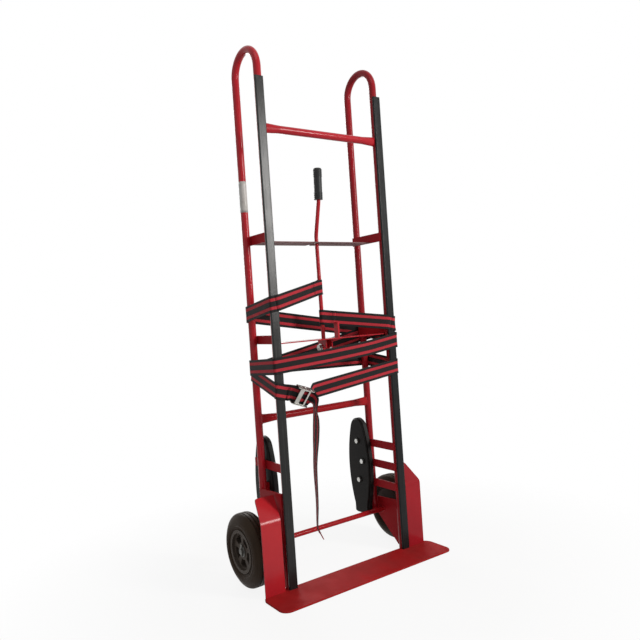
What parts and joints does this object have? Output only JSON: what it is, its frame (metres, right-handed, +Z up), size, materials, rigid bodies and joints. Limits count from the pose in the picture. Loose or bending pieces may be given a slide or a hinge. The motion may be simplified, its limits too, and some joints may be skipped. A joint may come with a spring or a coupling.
{
  "type": "stair climbing hand truck",
  "caption": "tall two-wheeled steel hand truck with looped handles, rubber-covered rails, toe plate, belt stair climbers and a lever-tightened strap",
  "frame": {"origin": "on the floor, midway between the side rails, below the middle of the front legs", "axes": "+Z up, +X to the right seen from the load side, -Y towards the load (the way the toe plate points)"},
  "size_m": [0.6156, 0.3215, 1.5198],
  "materials": {
    "red_paint": "gloss red paint over steel",
    "cover_rubber": "black extruded rubber, faint bloom",
    "tyre": "black solid rubber, dusty",
    "hub_plastic": "dark grey moulded plastic",
    "climber_plastic": "black moulded plastic",
    "belt_rubber": "black rubber belt",
    "zinc": "bright zinc plate",
    "buckle_steel": "pressed bright steel",
    "webbing": "black woven webbing with two red stripes",
    "grip_rubber": "black ribbed rubber"
  },
  "bodies": {
    "frame": {"left_side_rail": "red_paint", "right_side_rail": "red_paint", "left_rail_cover": "cover_rubber", "right_rail_cover": "cover_rubber", "left_upper_tie": "red_paint", "right_upper_tie": "red_paint", "left_mid_tie": "red_paint", "right_mid_tie": "red_paint", "left_low_tie_1": "red_paint", "right_low_tie_1": "red_paint", "right_low_tie_2": "red_paint", "left_low_tie_3": "red_paint", "right_low_tie_3": "red_paint", "left_side_plate": "red_paint", "right_side_plate": "red_paint", "left_fender": "red_paint", "right_fender": "red_paint", "left_climber_inner_cheek": "climber_plastic", "right_climber_inner_cheek": "climber_plastic", "left_climber_outer_cheek": "climber_plastic", "right_climber_outer_cheek": "climber_plastic", "left_climber_core": "climber_plastic", "right_climber_core": "climber_plastic", "left_climber_belt": "belt_rubber", "right_climber_belt": "belt_rubber", "left_climber_bolts": "zinc", "right_climber_bolts": "zinc", "top_crossbar": "red_paint", "rear_crossbar": "red_paint", "guide_plate": "red_paint", "lever_plate": "red_paint", "strap_post": "red_paint", "lever_lugs": "red_paint", "pivot_bolt": "zinc", "toe_plate": "red_paint", "axle": "red_paint", "axle_spacers": "zinc", "axle_washers": "zinc", "cotter_pins": "zinc", "lever_strap_left": "webbing", "lever_strap_right": "webbing", "strap_long": "webbing", "strap_short": "webbing", "strap_tail": "webbing", "buckle_frame": "buckle_steel", "buckle_pins": "zinc", "left_climber_pad": "red_paint"},
    "left_wheel": {"left_tyre": "tyre", "left_wheel_hub": "hub_plastic", "left_wheel_bush": "zinc"},
    "right_wheel": {"right_tyre": "tyre", "right_wheel_hub": "hub_plastic", "right_wheel_bush": "zinc"},
    "lever": {"lever_rod": "red_paint", "lever_grip": "grip_rubber"},
    "buckle_cam": {"buckle_cam": "buckle_steel"}
  },
  "joints": [
    {"name": "left_wheel_spin", "type": "hinge", "parent": "frame", "child": "left_wheel", "pos_m": [-0.2811, 0.0985, 0.1035], "axis": [1, 0, 0], "continuous": true},
    {"name": "right_wheel_spin", "type": "hinge", "parent": "frame", "child": "right_wheel", "pos_m": [0.2661, 0.0985, 0.1035], "axis": [1, 0, 0], "continuous": true},
    {"name": "lever_pivot", "type": "hinge", "parent": "frame", "child": "lever", "pos_m": [0, 0.062, 0.652], "axis": [-1, 0, 0], "range_deg": [0, 33], "deforming": ["lever_strap_left", "lever_strap_right"]},
    {"name": "buckle_cam_turn", "type": "hinge", "parent": "frame", "child": "buckle_cam", "pos_m": [-0.13486, -0.02958, 0.52167], "axis": [0.3047, -0.454, 0.8373], "range_deg": [0, 55], "stiffness_Nm_per_rad": 0.02, "springref_deg": -20.05}
  ]
}
